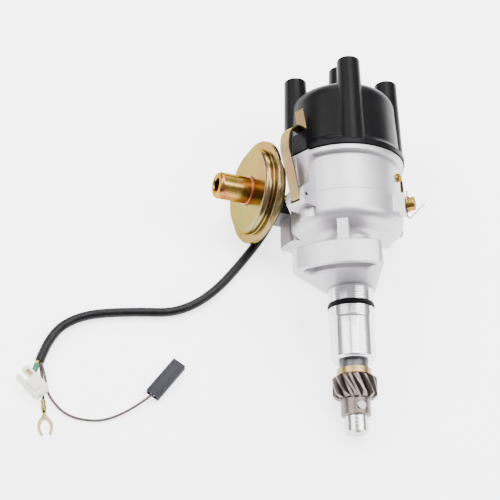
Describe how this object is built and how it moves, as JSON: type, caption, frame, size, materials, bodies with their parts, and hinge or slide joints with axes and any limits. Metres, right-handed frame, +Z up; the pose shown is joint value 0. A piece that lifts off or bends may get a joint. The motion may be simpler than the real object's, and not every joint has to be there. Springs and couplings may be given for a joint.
{
  "type": "ignition distributor",
  "caption": "Gear-driven breakerless ignition distributor with a domed cap, vacuum advance unit, clamp ear, sprung clips and a sleeved lead with connectors.",
  "frame": {"origin": "on the bench, under the middle of the object without its free leads", "axes": "+Z up from the bench on which it lies, +Y along the bench from the drive gear towards the cap, +X to the right with the vacuum unit and the leads at -X"},
  "size_m": [0.2632, 0.2574, 0.0972],
  "materials": {
    "cast_alloy": "bead-blasted casting",
    "cap_plastic": "satin moulding",
    "zinc_yellow": "yellow passivated zinc plate",
    "bare_steel": "ground steel",
    "gear_steel": "phosphated steel",
    "dark_steel": "dark grey steel",
    "bronze": "sintered bronze",
    "brass_metal": "bright brass",
    "washer_red": "reddish washer",
    "rubber_black": "black rubber",
    "sleeve_black": "soft black sleeve",
    "yellow_insulation": "yellow insulation",
    "brown_insulation": "brown insulation",
    "green_insulation": "green insulation",
    "white_plastic": "white moulding",
    "grey_plastic": "dark grey moulding",
    "copper_wire": "enamelled copper",
    "carbon": "pressed carbon",
    "diaphragm_rubber": "coated cloth diaphragm"
  },
  "bodies": {
    "housing_body": {"housing": "cast_alloy", "lower_bush": "bronze", "upper_bush": "bronze", "upper_washer": "bare_steel", "o_ring": "rubber_black", "base_plate": "bare_steel", "base_plate_screws": "zinc_yellow", "plate_ring": "bare_steel", "vacuum_front_shell": "zinc_yellow", "vacuum_back_shell": "zinc_yellow", "vacuum_diaphragm": "diaphragm_rubber", "port_washer": "washer_red", "vacuum_port": "zinc_yellow", "diaphragm_spring": "bare_steel", "vacuum_bracket": "dark_steel", "bracket_screws": "zinc_yellow", "clip_pins": "bare_steel", "earth_washer": "zinc_yellow", "earth_screw": "zinc_yellow", "wire_hook": "bare_steel", "cord_gland": "rubber_black", "cord_sleeve": "sleeve_black", "yellow_wire": "yellow_insulation", "black_wire": "sleeve_black", "brown_wire": "brown_insulation", "green_sleeve": "green_insulation", "two_way_connector": "white_plastic", "connector_terminals": "brass_metal", "fork_terminal": "brass_metal", "blade_connector": "grey_plastic", "blade_terminal": "brass_metal"},
    "drive_shaft": {"shaft": "bare_steel", "drive_gear": "gear_steel", "gear_pin": "bare_steel", "thrust_washer": "brass_metal", "shaft_collar": "dark_steel", "weight_carrier": "bare_steel", "governor_springs": "bare_steel"},
    "advance_sleeve": {"reluctor_sleeve": "bare_steel", "reluctor": "bare_steel", "rotor_arm": "cap_plastic", "rotor_contact": "brass_metal"},
    "weight_a": {"flyweight_a": "bare_steel"},
    "weight_b": {"flyweight_b": "bare_steel"},
    "pickup_assembly": {"pickup_plate": "bare_steel", "pickup_core": "bare_steel", "pickup_magnet": "dark_steel", "pickup_coil": "copper_wire", "igniter_module": "cap_plastic", "module_screws": "zinc_yellow"},
    "vacuum_rod": {"pull_rod": "zinc_yellow", "diaphragm_plate": "bare_steel"},
    "cap_body": {"cap": "cap_plastic", "plug_electrodes": "brass_metal", "centre_electrode": "brass_metal", "brush_spring": "bare_steel"},
    "brush_body": {"brush": "carbon"},
    "front_clip": {"clip_front": "zinc_yellow"},
    "rear_clip": {"clip_rear": "zinc_yellow"}
  },
  "joints": [
    {"name": "shaft_spin", "type": "hinge", "parent": "housing_body", "child": "drive_shaft", "pos_m": [0.02118, -0.03343, 0.02814], "axis": [0, 0.9803, 0.1974], "continuous": true},
    {"name": "centrifugal_advance", "type": "hinge", "parent": "drive_shaft", "child": "advance_sleeve", "pos_m": [0.02118, 0.02539, 0.03998], "axis": [0, 0.9803, 0.1974], "range_deg": [-12, 0], "stiffness_Nm_per_rad": 0.2},
    {"name": "weight_a_swing", "type": "hinge", "parent": "drive_shaft", "child": "weight_a", "pos_m": [0.04205, 0.01512, 0.04031], "axis": [0, 0.9803, 0.1974], "range_deg": [-13.65, 0], "deforming": ["governor_springs"]},
    {"name": "weight_b_swing", "type": "hinge", "parent": "drive_shaft", "child": "weight_b", "pos_m": [0.00032, 0.01605, 0.0357], "axis": [0, 0.9803, 0.1974], "range_deg": [-13.65, 0]},
    {"name": "pickup_advance", "type": "hinge", "parent": "housing_body", "child": "pickup_assembly", "pos_m": [0.02118, 0.03519, 0.04195], "axis": [0, 0.9803, 0.1974], "range_deg": [0, 8], "stiffness_Nm_per_rad": 0.5},
    {"name": "pull_rod_slide", "type": "slide", "parent": "housing_body", "child": "vacuum_rod", "axis": [-0.9356, -0.0697, 0.3462], "range_m": [0, 0.00411], "deforming": ["vacuum_diaphragm", "diaphragm_spring"]},
    {"name": "cap_lift", "type": "slide", "parent": "housing_body", "child": "cap_body", "axis": [0, 0.9803, 0.1974], "range_m": [0, 0.027]},
    {"name": "brush_slide", "type": "slide", "parent": "cap_body", "child": "brush_body", "axis": [0, 0.9803, 0.1974], "range_m": [0, 0.002], "stiffness_N_per_m": 20, "deforming": ["brush_spring"]},
    {"name": "front_clip_open", "type": "hinge", "parent": "housing_body", "child": "front_clip", "pos_m": [-0.01582, 0.01379, 0.06465], "axis": [0.5819, -0.1605, 0.7973], "range_deg": [0, 38]},
    {"name": "rear_clip_open", "type": "hinge", "parent": "housing_body", "child": "rear_clip", "pos_m": [0.05819, 0.02424, 0.01274], "axis": [-0.5819, 0.1605, -0.7973], "range_deg": [0, 38]}
  ],
  "couplings": [
    {"joint": "weight_a_swing", "follows": "centrifugal_advance", "ratio": 1.1364},
    {"joint": "weight_b_swing", "follows": "centrifugal_advance", "ratio": 1.1364},
    {"joint": "pull_rod_slide", "follows": "pickup_advance", "m_per_rad": 0.0294},
    {"joint": "front_clip_open", "follows": "cap_lift", "rad_per_m": 24.56},
    {"joint": "rear_clip_open", "follows": "cap_lift", "rad_per_m": 24.56}
  ]
}
